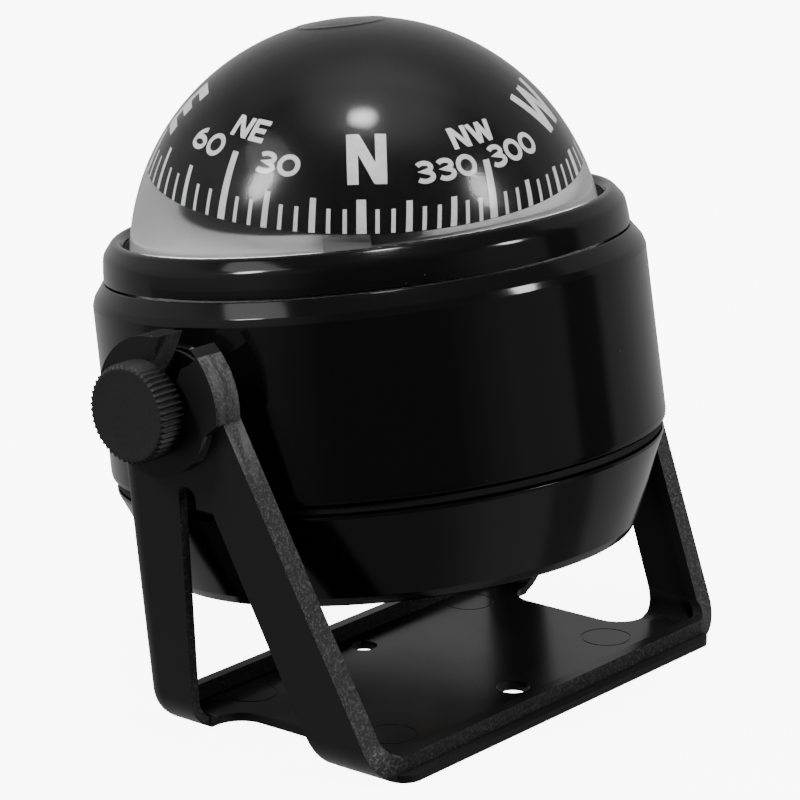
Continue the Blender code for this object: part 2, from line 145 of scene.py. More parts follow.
def black_gloss(name, base=0.0055, rough=0.11, dust=0.25):
    """Polished black moulding: faint orange peel, uneven gloss and a little settled dust."""
    m = Nodes(name)
    peel = m.noise(230.0, 2.0)
    smear = m.noise(38.0, 5.0, 0.65)
    speck = m.node("ShaderNodeTexVoronoi", Scale=520.0)
    m.link(m.coord.outputs["Object"], speck.inputs["Vector"])
    keep = m.noise(60.0, 1.0)
    dot = m.math("MULTIPLY", m.math("LESS_THAN", speck.outputs["Distance"], 0.05), m.math("GREATER_THAN", keep, 0.62))
    m.drive("Base Color", m.colour(m.math("MULTIPLY", dot, dust), (base, base, base * 1.03), (0.25, 0.25, 0.25)))
    m.drive("Roughness", m.math("ADD", m.spread(smear, rough * 0.75, rough * 1.35), m.math("MULTIPLY", dot, 0.3)))
    m.drive("Normal", m.bump(peel, 0.00002, 0.35))
    m.set(IOR=1.47)
    return m.mat


def bracket_plastic():
    """Black moulding with a satin skin, and a coarse grain on the faces that look forwards, where lighter specks are
    painted glints and a painted sheen grows in streaks towards the top.
    """
    m = Nodes("bracket_plastic_look")
    normal = m.node("ShaderNodeSeparateXYZ")
    m.link(m.coord.outputs["Normal"], normal.inputs[0])
    where = m.node("ShaderNodeSeparateXYZ")
    m.link(m.coord.outputs["Object"], where.inputs[0])
    front = m.math("LESS_THAN", normal.outputs["Y"], -0.72)
    above = m.math("GREATER_THAN", where.outputs["Z"], 0.00115)
    # the forward faces carry the real grain, and also the painted glints and painted sheen
    grain_and_glint_on = m.math("MULTIPLY", front, above)
    fine = m.noise(2600.0, 3.0, 0.7)
    coarse = m.noise(900.0, 2.0, 0.6)
    grain = m.math("ADD", m.math("MULTIPLY", fine, 0.65), m.math("MULTIPLY", coarse, 0.5))
    top = m.math("GREATER_THAN", normal.outputs["Z"], 0.9)
    smear = m.noise(45.0, 5.0, 0.65)
    satin = m.spread(smear, 0.30, 0.40)
    glossy_top = m.math("MULTIPLY", top, -0.13)
    m.drive("Roughness", m.math("ADD", m.math("ADD", satin, glossy_top), m.math("MULTIPLY", grain_and_glint_on, 0.08)))
    sheen_streak = m.noise(700.0, 4.0, 0.7, (1.0, 0.35, 0.12))
    # painted sheen: the forward faces are painted lighter in streaks towards the top
    top_sheen = m.math("MULTIPLY", m.spread(where.outputs["Z"], 0.0, 1.0, 0.036, 0.041), m.spread(sheen_streak, 0.1, 1.1, 0.42, 0.66))
    # painted glints: lighter specks in the base colour of the forward faces only, standing in for the light their grain
    # catches
    speck = m.math("MULTIPLY", m.math("ADD", m.spread(fine, 0.06, 1.0, 0.50, 0.70), top_sheen), grain_and_glint_on)
    m.drive("Base Color", m.colour(speck, (0.0135, 0.0135, 0.0138), (0.115, 0.115, 0.115)))
    skin = m.bump(m.noise(420.0, 3.0), 0.00002, 0.35)
    height = m.math("MULTIPLY", grain, grain_and_glint_on)
    m.drive("Normal", m.bump(height, 0.00022, 0.9, skin))
    m.set(IOR=1.47)
    return m.mat


def black_satin(name, base=0.016, rough=0.5, scale=1500.0, depth=0.00004):
    m = Nodes(name)
    fine = m.noise(scale, 3.0, 0.7)
    smear = m.noise(90.0, 4.0, 0.6)
    m.drive("Base Color", m.colour(m.spread(fine, 0.0, 1.0), (base * 0.85,) * 3, (base * 1.25,) * 3))
    m.drive("Roughness", m.spread(smear, rough * 0.88, rough * 1.12))
    m.drive("Normal", m.bump(fine, depth, 0.5))
    return m.mat


def card_look():
    """The card seen through liquid: black, slightly soft in its gloss, with tiny pits."""
    m = Nodes("card_black_look")
    fine = m.noise(1400.0, 2.0, 0.6)
    smear = m.noise(60.0, 4.0, 0.6)
    m.drive("Base Color", m.colour(m.spread(smear, 0.0, 1.0), (0.0035,) * 3, (0.006,) * 3))
    m.drive("Roughness", m.spread(smear, 0.36, 0.46))
    m.drive("Normal", m.bump(fine, 0.000008, 0.3))
    m.set(IOR=1.13)
    return m.mat


def ink_look():
    """Light grey screen print, a little thin and mottled."""
    m = Nodes("ink_look")
    mottle = m.noise(1100.0, 4.0, 0.7)
    wide = m.noise(220.0, 2.0)
    thin = m.math("MULTIPLY", m.spread(mottle, 0.0, 1.0, 0.35, 0.65), 0.45)
    tone = m.math("ADD", thin, m.math("MULTIPLY", m.spread(wide, 0.0, 1.0), 0.55))
    m.drive("Base Color", m.colour(tone, (0.62, 0.62, 0.62), (0.84, 0.84, 0.84)))
    m.drive("Roughness", m.spread(mottle, 0.45, 0.65))
    m.drive("Normal", m.bump(mottle, 0.00001, 0.4))
    return m.mat


def clear_look():
    """Polished clear acrylic with liquid behind it: its outer face bends what is seen through it, and its inner face, wetted by the liquid, doesn't show."""
    m = Nodes("clear_acrylic_look")
    smear = m.noise(30.0, 4.0, 0.6)
    m.drive("Roughness", m.spread(smear, 0.15, 0.17))
    m.drive("Normal", m.bump(m.noise(70.0, 2.0), 0.00001, 0.08))
    m.set(Transmission_Weight=1.0, IOR=1.42)
    m.shader.inputs["Base Color"].default_value = (0.97, 0.97, 0.97, 1)
    shift = m.node("ShaderNodeVectorMath", operation="SUBTRACT")
    shift.inputs[1].default_value = Matrix.Rotation(-radians(TILT), 3, "X") @ Vector((0, 0, 10.63 * MM))
    m.link(m.coord.outputs["Object"], shift.inputs[0])
    length = m.node("ShaderNodeVectorMath", operation="LENGTH")
    m.link(shift.outputs["Vector"], length.inputs[0])
    inner = m.math("LESS_THAN", length.outputs["Value"], 30.9 * MM)
    path = m.node("ShaderNodeLightPath")
    lit = m.math("MAXIMUM", path.outputs["Is Shadow Ray"], path.outputs["Is Diffuse Ray"])
    clear = m.node("ShaderNodeBsdfTransparent")
    mix = m.node("ShaderNodeMixShader")
    m.link(m.math("MAXIMUM", inner, lit), mix.inputs[0])
    m.link(m.shader.outputs[0], mix.inputs[1])
    m.link(clear.outputs[0], mix.inputs[2])
    m.link(mix.outputs[0], m.out.inputs["Surface"])
    return m.mat


def pale(name, a, b, rough=0.4, scale=140.0):
    m = Nodes(name)
    wide = m.noise(scale, 4.0, 0.6)
    fine = m.noise(scale * 9, 3.0, 0.6)
    m.drive("Base Color", m.colour(m.spread(wide, 0.0, 1.0), a, b))
    m.drive("Roughness", m.spread(fine, rough * 0.85, rough * 1.15))
    m.drive("Normal", m.bump(fine, 0.00001, 0.4))
    return m.mat


def metal(name, a, b, rough, scale=600.0):
    """Turned metal: fine rings of tool marks round the piece and patches of tarnish."""
    m = Nodes(name)
    fine = m.noise(scale, 4.0, 0.7)
    wide = m.noise(scale / 8, 3.0, 0.6)
    m.drive("Base Color", m.colour(m.spread(wide, 0.0, 1.0), a, b))
    m.drive("Roughness", m.spread(fine, rough * 0.7, rough * 1.3))
    m.drive("Normal", m.bump(fine, 0.00001, 0.5))
    m.set(Metallic=1.0)
    return m.mat


GLOSS = black_gloss("housing_gloss_look")
GLOSS_LOW = black_gloss("cover_gloss_look", 0.0055, 0.14)
BRACKET = bracket_plastic()
KNOB = black_satin("knob_look", 0.017, 0.52, 1900.0)
RUBBER = black_satin("rubber_look", 0.010, 0.75, 1200.0)
CARD = card_look()
INK = ink_look()
CLEAR = clear_look()
WHITE = pale("bowl_white_look", (0.62, 0.62, 0.62), (0.72, 0.72, 0.72))
FROST = pale("lubber_frost_look", (0.36, 0.36, 0.362), (0.44, 0.44, 0.442), 0.35)
STEEL = metal("steel_look", (0.50, 0.50, 0.51), (0.62, 0.62, 0.63), 0.28)
MAGNET = metal("magnet_look", (0.16, 0.16, 0.165), (0.26, 0.26, 0.265), 0.42)
BRASS = metal("brass_look", (0.55, 0.42, 0.18), (0.70, 0.54, 0.26), 0.28)
JEWEL = pale("jewel_look", (0.34, 0.02, 0.05), (0.45, 0.04, 0.08), 0.1)

# ------------------------------------------------------------------ mesh helpers


def rounded(profile):
    """Replaces each (radius, height, fillet) corner by a short arc. Corners with no fillet stay sharp."""
    out = []
    n = len(profile)
    for k, p in enumerate(profile):
        r = p[2] if len(p) > 2 else 0.0
        here = np.array(p[:2], float)
        if r <= 0:
            out.append(tuple(here))
            continue
        a, b = np.array(profile[k - 1][:2], float), np.array(profile[(k + 1) % n][:2], float)
        u, v = (a - here) / np.linalg.norm(a - here), (b - here) / np.linalg.norm(b - here)
        half = np.arccos(np.clip(u @ v, -1, 1)) / 2
        reach = min(r / np.tan(half), 0.48 * np.linalg.norm(a - here), 0.48 * np.linalg.norm(b - here))
        steps = 5
        start, end = here + u * reach, here + v * reach
        for s in range(steps + 1):
            t = s / steps
            out.append(tuple((1 - t) ** 2 * start + 2 * t * (1 - t) * here + t**2 * end))
    return out


def lathe(profile, seg=SEG, wobble=None):
    """A closed (radius, height) outline in mm turned about Z."""
    bm = bmesh.new()
    rings = []
    for k, (r, z) in enumerate(profile):
        if r < 1e-6:
            rings.append([bm.verts.new((0, 0, z))])
            continue
        ring = []
        for i in range(seg):
            a = 2 * pi * i / seg
            dr, dz = wobble(k, i, r, z) if wobble else (0.0, 0.0)
            ring.append(bm.verts.new(((r + dr) * cos(a), (r + dr) * sin(a), z + dz)))
        rings.append(ring)
    for low, high in zip(rings, rings[1:] + rings[:1]):
        if len(low) == 1 and len(high) == 1:
            continue
        for i in range(seg):
            j = (i + 1) % seg
            if len(low) == 1:
                bm.faces.new((low[0], high[i], high[j]))
            elif len(high) == 1:
                bm.faces.new((low[i], low[j], high[0]))
            else:
                bm.faces.new((low[i], low[j], high[j], high[i]))
    return bm


def outline_prism(outline, low, high, axis):
    put = {"X": lambda p, d: (d, p[0], p[1]), "Z": lambda p, d: (p[0], p[1], d)}[axis]
    bm = bmesh.new()
    a = [bm.verts.new(put(p, low)) for p in outline]
    b = [bm.verts.new(put(p, high)) for p in outline]
    bm.faces.new(a[::-1])
    bm.faces.new(b)
    for i in range(len(a)):
        j = (i + 1) % len(a)
        bm.faces.new((a[i], a[j], b[j], b[i]))
    return bm


def arc(cx, cy, r, start, end, steps):
    return [(cx + r * cos(radians(start + (end - start) * k / steps)), cy + r * sin(radians(start + (end - start) * k / steps))) for k in range(steps + 1)]


def make(name, bm, mat, matrix=Matrix.Identity(4), angle=35, smooth=True, turn=True):
    bmesh.ops.remove_doubles(bm, verts=bm.verts, dist=1e-5)
    if turn:
        bmesh.ops.recalc_face_normals(bm, faces=bm.faces)
    bmesh.ops.scale(bm, vec=(MM,) * 3, verts=bm.verts)
    mesh = bpy.data.meshes.new(name)
    bm.to_mesh(mesh)
    bm.free()
    if mat:
        mesh.materials.append(mat)
    if smooth:
        mesh.shade_smooth()
        mesh.set_sharp_from_angle(angle=radians(angle))
    obj = bpy.data.objects.new(name, mesh)
    bpy.context.scene.collection.objects.link(obj)
    obj.matrix_world = matrix
    return obj


def settle(obj, matrix):
    """Keeps the object's origin and puts its turn into the mesh, so that its own box lies along the frame and fits it closely."""
    obj.data.transform(matrix.to_quaternion().to_matrix().to_4x4())
    obj.matrix_world = Matrix.Translation(matrix.translation)


def piece(name, bm, mat, body, replaces=(), matrix=Matrix.Identity(4), angle=35):
    obj = make(name, bm, mat, matrix, angle)
    settle(obj, matrix)
    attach(obj, body)
    if replaces:
        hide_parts(*replaces)
    return obj


def bake(obj):
    """Applies the modifiers and drops the cutters they used."""
    bpy.context.view_layer.update()
    graph = bpy.context.evaluated_depsgraph_get()
    mesh = bpy.data.meshes.new_from_object(obj.evaluated_get(graph))
    cutters = {m.object for m in obj.modifiers if m.type == "BOOLEAN"}
    obj.modifiers.clear()
    obj.data = mesh
    for c in cutters:
        bpy.data.objects.remove(c)


def boolean(obj, other, operation):
    mod = obj.modifiers.new(operation.lower() + other.name, "BOOLEAN")
    mod.operation, mod.solver, mod.object = operation, "EXACT", other


def soften(obj, width, segments=2, angle=28):
    mod = obj.modifiers.new("edges", "BEVEL")
    mod.width, mod.segments, mod.limit_method, mod.angle_limit = width * MM, segments, "ANGLE", radians(angle)
    mod.harden_normals = False
    mod.use_clamp_overlap = True


def retouch(obj, angle=35):
    obj.data.shade_smooth()
    obj.data.set_sharp_from_angle(angle=radians(angle))


# ------------------------------------------------------------------ bracket
ARM_OUT, SPLAY, BEND_R = 42.0, 6.86, 5.2
BASE_WEB, ARM_WEB, RIM = 1.1, 1.4, 3.1
FRONT_Y0, FRONT_SLOPE, REAR_Y = -30.35, 0.446, 7.9
HEAD_IN, HEAD_OUT, HEAD_R, HEAD_FRONT_R = 39.1, 43.4, 8.9, 10.8
LIFT = 0.05
frame_y = Matrix.Translation((0, PY * MM, 0))


def front_y(z):
    return FRONT_Y0 + FRONT_SLOPE * z


def channel():
    lean = radians(SPLAY)
    out_at = lambda z: ARM_OUT + (z - PZ) * sin(lean) / cos(lean)
    bend_end_z = BEND_R * (1 - sin(lean))
    bend_x = out_at(bend_end_z) - BEND_R * cos(lean)
    half = [(0.0, LIFT, 0.0, 1.0, BASE_WEB), (bend_x - 8, LIFT, 0.0, 1.0, BASE_WEB), (bend_x - 2, LIFT, 0.0, 1.0, BASE_WEB)]
    turn, steps = 90 - SPLAY, 16
    for k in range(steps + 1):
        a = radians(-90 + turn * k / steps)
        half.append((bend_x + BEND_R * cos(a), LIFT + BEND_R + BEND_R * sin(a), -cos(a), -sin(a), BASE_WEB + (ARM_WEB - BASE_WEB) * k / steps))
    for z, web in ((12.0, ARM_WEB), (20.0, ARM_WEB), (34.4, ARM_WEB), (34.9, 2.2), (35.4, RIM), (45.0, RIM)):
        half.append((out_at(z), z, -cos(lean), sin(lean), web))
    path = [(-x, z, -nx, nz, web) for x, z, nx, nz, web in half[:0:-1]] + half
    bm = bmesh.new()
    rows = []
    corner = [(2.6 * (1 - cos(radians(t))), -2.6 * (1 - sin(radians(t)))) for t in (0, 15, 30, 45, 60, 75, 90)]
    for x, z, nx, nz, web in path:
        section = [(0.0, "front", 0.0)] + [(u * 0.62, "rear", dy) for u, dy in corner]
        section += [(RIM, "rear", 0.0), (RIM, "rear", -1.5), (web, "rear", -1.9), (web, "front", 2.0), (RIM, "front", 1.6), (RIM, "front", 0.0)]
        row = []
        for u, edge, dy in section:
            y = (front_y(z) if edge == "front" else REAR_Y) + dy
            row.append(bm.verts.new((x + nx * u, y, z + nz * u)))
        rows.append(row)
    n = len(rows[0])
    for low, high in zip(rows, rows[1:]):
        for i in range(n):
            j = (i + 1) % n
            bm.faces.new((low[i], low[j], high[j], high[i]))
    bm.faces.new(rows[0])
    bm.faces.new(rows[-1][::-1])
    bmesh.ops.triangulate(bm, faces=bm.faces)
    return bm


def head_outline():
    c = PZ
    return arc(0, c, HEAD_R, 92, -165, 64) + arc(0, c, HEAD_FRONT_R, 183, 129, 24) + [(-4.6, c + 9.75)]


def slot_outline():
    lean, w = radians(24.0), 2.3
    d, side = (-sin(lean), cos(lean)), (cos(lean), sin(lean))
    low = [(w * cos(radians(a)), PZ + w * sin(radians(a))) for a in np.linspace(204, 384, 17)]
    at = lambda t, s: (d[0] * t + side[0] * s, PZ + d[1] * t + side[1] * s)
    return low + [at(14, w), at(14, -w), at(10.6, -w), at(9.9, -w - 1.7), at(8.4, -w - 0.9), at(7.3, -w)]


def window_front(z):
    return -20.9 + 0.4286 * z


def window_rear(z):
    return 0.45 - 0.064 * z


def opening_outline():
    top = 32.1
    return [(window_rear(-4), -4.0), (window_rear(top + 1.3), top + 1.3)] + arc(-3.05, top + 1.3, 1.4, 0, 180, 12)[1:] + [(-4.45, top), (window_front(top), top), (window_front(-4), -4.0)]


def recess(side):
    r, end, trim = 4.0, 34.4, 0.12
    bm = bmesh.new()
    loops = []
    for z in (-3.0, 5.0):
        y0, y1 = window_front(z) + trim, window_rear(z) - trim
        pts = [(end, y0)] + arc(28.3 + r, y0 + r, r, 270, 180, 10) + arc(28.3 + r, y1 - r, r, 180, 90, 10) + [(end, y1)]
        loops.append([bm.verts.new((side * x, y, z)) for x, y in pts])
    a, b = loops
    bm.faces.new(a[::-1])
    bm.faces.new(b)
    for i in range(len(a)):
        j = (i + 1) % len(a)
        bm.faces.new((a[i], a[j], b[j], b[i]))
    return bm


def foot_outline():
    x, y0, y1, r = 33.2, -31.9, 6.2, 2.6
    pts = arc(-x + r, y0 + r, r, 180, 270, 10) + arc(x - r, y0 + r, r, 270, 360, 10)
    return pts + arc(x - r, y1 - r, r, 0, 90, 8) + arc(-x + r, y1 - r, r, 90, 180, 8)


def tool(name, bm, matrix=frame_y):
    bmesh.ops.recalc_face_normals(bm, faces=bm.faces)
    bmesh.ops.triangulate(bm, faces=bm.faces)
    return make(name, bm, None, matrix, smooth=False, turn=False)


bracket = make("bracket_body", channel(), BRACKET, frame_y)
for s in (-1, 1):
    low, high = sorted((s * HEAD_IN, s * HEAD_OUT))
    boolean(bracket, tool("head_%d" % s, outline_prism(head_outline(), low, high, "X")), "UNION")
boolean(bracket, tool("foot", outline_prism(foot_outline(), 0.0, 1.0, "Z")), "UNION")
for s in (-1, 1):
    low, high = sorted((s * 33.5, s * 55.0))
    boolean(bracket, tool("window_%d" % s, outline_prism(opening_outline(), low, high, "X")), "DIFFERENCE")
    boolean(bracket, tool("recess_%d" % s, recess(s)), "DIFFERENCE")
    low, high = sorted((s * 36.0, s * 55.0))
    boolean(bracket, tool("slot_%d" % s, outline_prism(slot_outline(), low, high, "X")), "DIFFERENCE")
    turn = Matrix.Rotation(s * pi / 2, 4, "Y")
    seat = lathe([(0, 30.0), (7.0, 30.0), (7.0, HEAD_IN + 0.05), (0, HEAD_IN + 0.05)], 64)
    boolean(bracket, tool("seat_%d" % s, seat, frame_y @ Matrix.Translation((0, 0, PZ * MM)) @ turn), "DIFFERENCE")
for k, y in enumerate((2.6, -22.8)):
    mouth = [(1.8, 6)] if k == 0 else [(1.8, 0.75), (2.3, 1.2), (2.3, 6)]
    boolean(bracket, tool("hole_%d" % k, lathe([(0, -3), (1.8, -3)] + mouth + [(0, 6)], 48), frame_y @ Matrix.Translation((0, y * MM, 0))), "DIFFERENCE")
for x, y in ((22.9, 2.6), (-22.9, 2.6), (23.0, -21.0), (-23.0, -21.0)):
    # shallow round marks left by the mould's ejectors
    mark = lathe([(3.2, 1.09), (3.45, 1.09), (3.45, 2.0), (3.2, 2.0)], 48)
    boolean(bracket, tool("mark_%.0f_%.0f" % (x, y), mark, frame_y @ Matrix.Translation((x * MM, y * MM, 0))), "DIFFERENCE")
bake(bracket)
soften(bracket, 0.16, 2, 30)
bake(bracket)
retouch(bracket, 32)
even = bracket.modifiers.new("even", "WEIGHTED_NORMAL")
even.keep_sharp = True
even.weight = 80
bake(bracket)
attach(bracket, "bracket")
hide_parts("bracket")

# ------------------------------------------------------------------ housing
shell = lathe(rounded([
    (34.62, 11.3), (34.78, 11.2, 0.15), (36.08, 9.4, 0.5), (36.4, 8.5, 0.6), (36.5, 2.0), (36.65, -6.0), (36.8, -13.5, 0.3), (36.72, -14.1, 0.15),
    (36.3, -14.3), (34.9, -14.3), (34.7, 6.9), (33.2, 8.6), (31.2, 9.0), (31.2, 10.7), (33.5, 10.7), (33.5, 11.3)]), 192)
housing_shell = make("housing_wall", shell, GLOSS, HOUSING)
for s in (-1, 1):
    pad = lathe(rounded([(0, 32.9), (6.5, 32.9), (6.5, 38.0, 0.35), (0, 38.0)]), 64)
    boolean(housing_shell, tool("pad_%d" % s, pad, HOUSING @ Matrix.Rotation(s * pi / 2, 4, "Y")), "UNION")
for s in (-1, 1):
    bore = lathe([(0, 33.1), (3.6, 33.1), (3.6, 41.0), (0, 41.0)], 48)
    boolean(housing_shell, tool("bore_%d" % s, bore, HOUSING @ Matrix.Rotation(s * pi / 2, 4, "Y")), "DIFFERENCE")
bake(housing_shell)
retouch(housing_shell, 30)
settle(housing_shell, HOUSING)
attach(housing_shell, "housing")
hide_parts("housing_shell")

bezel_outline = rounded([
    (31.45, 14.6), (31.45, 15.75, 0.25), (32.15, 16.5, 0.6), (33.0, 16.4, 1.2), (34.3, 14.75, 1.9), (34.55, 12.7, 0.7), (34.62, 11.6, 0.1), (33.6, 11.6), (33.6, 14.6)])
piece("bezel_rim", lathe(bezel_outline, 192), GLOSS, "housing", ("bezel_ring",), HOUSING)

teeth = 150
notch = lambda k, i, r, z: ((0.0, -0.28) if (i // 2) % 2 == 0 and z > 15.0 else (0.0, 0.0))
gasket = lathe([(31.12, 13.9), (31.36, 13.9), (31.36, 15.75), (31.12, 15.75)], 2 * teeth, notch)
piece("dome_gasket_edge", gasket, RUBBER, "housing", ("dome_gasket",), HOUSING)

DC, DR, DI = 10.63, 31.1, 30.68


def cap(r, low, steps, top=90):
    pts = [(r * cos(radians(a)), DC + r * sin(radians(a))) for a in np.linspace(low, top, steps + 1)]
    if top == 90:
        pts[-1] = (0.0, DC + r)
    return pts


dome_outline = cap(DR, 6.0, 48)[::-1]
# a faint ring left by the mould at the top of the dome
k = max(i for i, (r, z) in enumerate(dome_outline) if r < 5.2)
ring = [(rr * cos(radians(a)), DC + rr * sin(radians(a))) for a, rr in ((79.75, DR), (79.5, DR + 0.07), (79.2, DR + 0.07), (78.95, DR))]
dome_outline = dome_outline[: k + 1] + ring + [p for p in dome_outline[k + 1:] if p[0] > 6.2]
dome_outline += [(30.93, 13.5), (33.0, 13.5), (33.0, 12.2), (30.1, 12.2)] + cap(DI, 5.6, 48)
piece("dome_clear", lathe(dome_outline, 160), CLEAR, "housing", ("dome",), HOUSING)

BI, BO, FLOOR = 21.0, 22.4, 16.0
fa, ua = degrees(asin((FLOOR - DC) / BI)), degrees(asin((14.4 - DC) / BO))
inner = [(BI * cos(radians(a)), DC + BI * sin(radians(a))) for a in np.linspace(-90, fa, 24)]
outer = [(BO * cos(radians(a)), DC + BO * sin(radians(a))) for a in np.linspace(ua, -90, 24)]
inner[0], outer[-1] = (0.0, DC - BI), (0.0, DC - BO)
inner[-1:] = [(20.9, 15.0), (17.0, 15.2), (17.0, FLOOR)]
rim = rounded([inner[-1], (27.7, FLOOR, 0.35), (27.7, 11.9), (30.9, 11.9), (30.9, 11.0), (26.4, 11.0), (26.2, 14.4), outer[0]])
bowl = lathe(inner[:-1] + rim + outer[1:], 128)
piece("inner_bowl_floor", bowl, WHITE, "housing", ("inner_bowl",), HOUSING)

lub = arc(0, 0, 27.6, -5.9, 5.9, 10) + arc(0, 0, 28.6, 5.9, -5.9, 10)
lub_bm = outline_prism(lub, 14.6, 17.6, "Z")
lubber = piece("lubber_mark", lub_bm, FROST, "housing", ("lubber_block",), HOUSING @ Matrix.Rotation(radians(-90 - 53.6), 4, "Z"))

cover_outline = rounded([
    (36.25, -15.8, 0.1), (36.25, -16.2, 0.15), (34.95, -19.2), (34.1, -21.5), (33.15, -23.8), (31.75, -27.3, 0.5), (31.0, -28.45, 0.5), (30.0, -28.6), (17.9, -28.6, 0.2), (17.35, -29.0, 0.2),
    (17.0, -30.8, 0.5), (16.2, -32.0, 0.5), (14.8, -32.6, 0.5), (0, -32.6), (0, -31.1), (14.6, -31.1), (15.4, -30.2), (15.6, -27.0), (29.3, -27.0), (30.0, -26.6), (34.4, -16.6), (34.4, -15.8)])
cover = make("lower_shell", lathe(cover_outline, 192), GLOSS_LOW, HOUSING)
for s in (-1, 1):
    well = lathe([(0, -36), (3.3, -36), (3.3, -31.6), (2.2, -31.6), (2.2, -29), (0, -29)], 48)
    boolean(cover, tool("well_%d" % s, well, HOUSING @ Matrix.Translation((s * 7.0 * MM, 0, 0))), "DIFFERENCE")
bake(cover)
retouch(cover, 30)
settle(cover, HOUSING)
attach(cover, "housing")
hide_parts("lower_cover")

seal = lathe(rounded([(34.2, -15.5), (36.15, -15.5, 0.2), (36.15, -14.6, 0.2), (34.2, -14.6)]), 160)
piece("cover_seal_band", seal, RUBBER, "housing", ("cover_seal",), HOUSING)

# ------------------------------------------------------------------ thumb screws
for s, tag in ((-1, "left"), (1, "right")):
    ribs, per = 50, 8
    r0, z0, z1 = 6.3, 43.7, 47.9
    profile = [(2.3, z0), (r0 - 0.9, z0), (r0 - 0.45, z0 + 0.12), (r0 - 0.12, z0 + 0.42), (r0, z0 + 0.8), (r0, z1 - 0.42), (r0 - 0.1, z1 - 0.2), (r0 - 0.35, z1 - 0.04),
               (r0 - 0.62, z1 + 0.0), (r0 - 1.0, z1 - 0.03), (r0 - 1.6, z1 - 0.06), (0, z1 - 0.06), (0, 46.7), (2.3, 46.7)]
    depth = [0, 0.1, 0.25, 0.38, 0.42, 0.42, 0.38, 0.18, 0.03, 0, 0, 0, 0, 0]

    def knurl(k, i, r, z):
        t = (i % per) / per
        return (-depth[k] * (0.5 - 0.5 * cos(2 * pi * t)) ** 0.7, 0.0)

    knob = lathe(profile, ribs * per, knurl)
    piece("knob_grip_" + tag, knob, KNOB, "thumb_screw_" + tag, ("knob_" + tag,), PIVOT @ Matrix.Rotation(s * pi / 2, 4, "Y"), 50)

# ------------------------------------------------------------------ compass card
toward, lean = radians(57.2), radians(6.0)
n_up = Vector((-sin(toward) * sin(lean), -cos(toward) * sin(lean), cos(lean)))
north = Vector((-0.776, -0.625, -0.083))
north = (north - n_up * north.dot(n_up)).normalized()
east_side = n_up.cross(north)
centre = HOUSING @ Vector((0, 0, DC * MM))
CARD_AT = Matrix((north, east_side, n_up)).transposed().to_4x4()
CARD_AT.translation = centre
CR, CI, LAT = 30.4, 29.75, 24.55
outer = [(CR * cos(radians(a)), CR * sin(radians(a))) for a in np.linspace(90, LAT, 40)]
inner = [(CI * cos(radians(a)), CI * sin(radians(a))) for a in np.linspace(LAT, 90, 40)]
outer[0], inner[-1] = (0.0, CR), (0.0, CI)
piece("card_shell", lathe(outer + inner, 160), CARD, "card", ("card_dome",), CARD_AT)

INK_LOW, INK_TOP = 0.01, 0.04


def on_card(lon, lat, height):
    a, b = radians(lon), radians(lat)
    r = CR + height
    return (r * cos(b) * cos(a), r * cos(b) * sin(a), r * sin(b))


def patch(bm, lon0, lon1, lat0, lat1, nu, nv, slant):
    """A raised printed stripe on the card. It moves sideways by slant degrees for each degree up."""
    grid = []
    for j in range(nv + 1):
        v = lat0 + (lat1 - lat0) * j / nv
        row = []
        for i in range(nu + 1):
            u = lon0 + (lon1 - lon0) * i / nu
            row.append((u + slant * (v - lat0), v))
        grid.append(row)
    tops = [[bm.verts.new(on_card(u, v, INK_TOP)) for u, v in row] for row in grid]
    for j in range(nv):
        for i in range(nu):
            bm.faces.new((tops[j][i], tops[j][i + 1], tops[j + 1][i + 1], tops[j + 1][i]))
    edge = [(j, 0) for j in range(nv, 0, -1)] + [(0, i) for i in range(nu)] + [(j, nu) for j in range(nv)] + [(nv, i) for i in range(nu, 0, -1)]
    lows = [bm.verts.new(on_card(*grid[j][i], INK_LOW)) for j, i in edge]
    for k in range(len(edge)):
        a, b = edge[k], edge[(k + 1) % len(edge)]
        bm.faces.new((tops[a[0]][a[1]], tops[b[0]][b[1]], lows[(k + 1) % len(edge)], lows[k]))


# The print is drawn where it appears through the liquid and the dome, which draw it together towards north.
TRUE = [-180, -90, -75, -60, -45, -30, -15, 0, 15, 30, 45, 60, 75, 90, 180]
SEEN = [-184.3, -84.5, -69.5, -54.2, -39.3, -26.0, -12.9, -0.1, 12.0, 23.9, 35.9, 48.8, 62.2, 76.0, 175.7]
SLANT = [0.0, -0.55, -0.48, -0.38, -0.2, -0.11, -0.06, 0.0, 0.15, 0.28, 0.28, 0.34, 0.42, 0.5, 0.0]

ticks = bmesh.new()
for deg in range(-175, 185, 5):
    if deg % 90 == 0:
        half, top = 1.3, 32.6
    elif deg % 45 == 0:
        half, top = 1.15, 39.6
    elif deg % 15 == 0:
        half, top = 0.85, 32.3
    else:
        half, top = 0.55, 30.3
    at = float(np.interp(deg, TRUE, SEEN))
    top -= 2.1 * sin(radians(at)) * (0.3 if deg % 15 else 1.0)
    patch(ticks, at - half, at + half, LAT + 0.12, top, 4, 10, float(np.interp(deg, TRUE, SLANT)))
piece("card_ticks", ticks, INK, "card", (), CARD_AT)

# Generic bold dial lettering, built from strokes: each glyph is a set of polylines in a box 0..width by 0..1.
def ring_pts(cx, cy, rx, ry, start, end, steps):
    return [(cx + rx * cos(radians(start + (end - start) * k / steps)), cy + ry * sin(radians(start + (end - start) * k / steps))) for k in range(steps + 1)]


